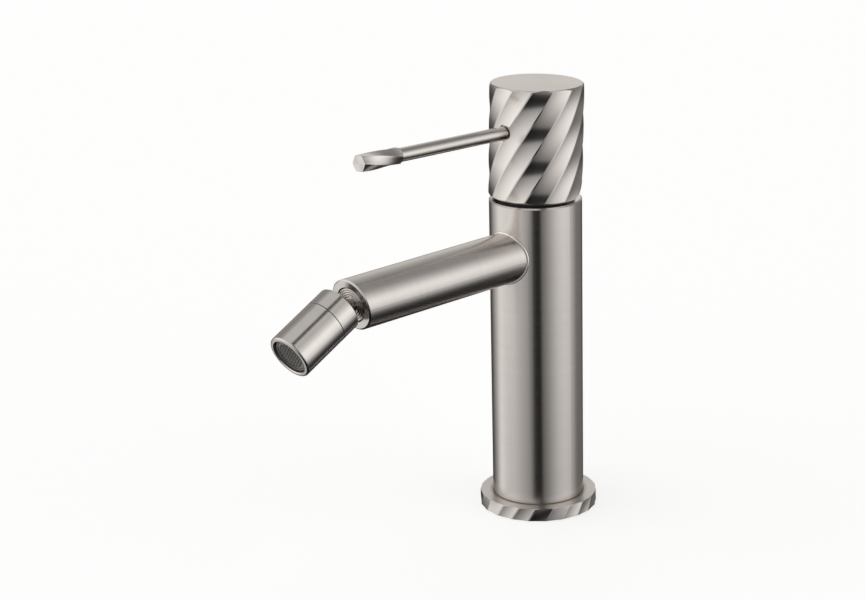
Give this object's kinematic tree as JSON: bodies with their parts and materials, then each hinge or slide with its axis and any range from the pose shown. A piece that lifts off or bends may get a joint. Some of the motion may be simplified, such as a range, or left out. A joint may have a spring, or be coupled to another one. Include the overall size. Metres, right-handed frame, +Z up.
{
  "type": "bidet mixer",
  "caption": "Single-lever deck-mounted bidet mixer: fluted tilting cap with a long thin lever, straight column, horizontal spout and a swivelling ball-jointed aerator nozzle.",
  "frame": {"origin": "centre of the base ring's underside on the column's axis, where the mixer stands on the sanitary ware", "axes": "+Z up along the column; the spout and the lever point along -Y; hot water enters on the -X side"},
  "size_m": [0.0512, 0.172, 0.19],
  "materials": {
    "brushed_nickel": "brushed nickel, satin",
    "brass": "machined",
    "copper": "drawn tube",
    "rubber": "matte",
    "nylon": "moulded",
    "ceramic": "lapped ceramic",
    "steel": "stainless",
    "acetal": "moulded"
  },
  "bodies": {
    "column": {"column_body": "brushed_nickel", "base_ring": "brushed_nickel", "base_gasket": "rubber", "inlet_block": "brass", "inlet_block_seal": "rubber", "hot_riser": "copper", "cold_riser": "copper", "riser_seals": "rubber", "valve_block": "brass", "cover_dome": "acetal", "clamp_nut": "brass", "cartridge_base": "nylon", "cartridge_base_seals": "rubber", "fixed_disc": "ceramic", "cartridge_shell": "nylon", "spout_tube": "brushed_nickel", "spout_seal": "rubber", "ball_stem": "brushed_nickel", "ball_stem_seal": "rubber"},
    "rotor": {"stem_carrier": "nylon", "pivot_pin": "steel"},
    "disc": {"moving_disc": "ceramic", "disc_coupler": "nylon"},
    "handle": {"stem": "brass", "handle_cap": "brushed_nickel", "grub_screw": "steel", "lever_rod": "brushed_nickel", "lever_tip": "brushed_nickel"},
    "tilt_seat": {"rear_seat": "nylon"},
    "swing_seat": {"front_seat": "nylon"},
    "nozzle": {"ball_seal": "rubber", "nozzle_collar": "brushed_nickel", "nozzle_sleeve": "brushed_nickel", "aerator_gasket": "rubber", "aerator_body": "acetal", "aerator_mesh": "steel"}
  },
  "joints": [
    {"name": "handle_turn", "type": "hinge", "parent": "column", "child": "rotor", "pos_m": [0, 0, 0.142], "axis": [0, 0, 1], "range_deg": [-50, 50]},
    {"name": "handle_lift", "type": "hinge", "parent": "rotor", "child": "handle", "pos_m": [0, 0, 0.142], "axis": [-1, 0, 0], "range_deg": [-1.84, 23.16]},
    {"name": "disc_slide", "type": "slide", "parent": "rotor", "child": "disc", "axis": [0, -1, 0], "range_m": [-0.00022, 0.00268]},
    {"name": "nozzle_tilt", "type": "hinge", "parent": "column", "child": "tilt_seat", "pos_m": [0, -0.11963, 0.11398], "axis": [1, 0, 0], "range_deg": [-36.4, 7.6]},
    {"name": "nozzle_swing", "type": "hinge", "parent": "tilt_seat", "child": "swing_seat", "pos_m": [0, -0.11963, 0.11398], "axis": [0, -0.4509, 0.8926], "range_deg": [-14, 14]},
    {"name": "nozzle_spin", "type": "hinge", "parent": "swing_seat", "child": "nozzle", "pos_m": [0, -0.11963, 0.11398], "axis": [0, -0.8926, -0.4509], "continuous": true}
  ],
  "couplings": [
    {"joint": "disc_slide", "follows": "handle_lift", "m_per_rad": 0.0066}
  ]
}
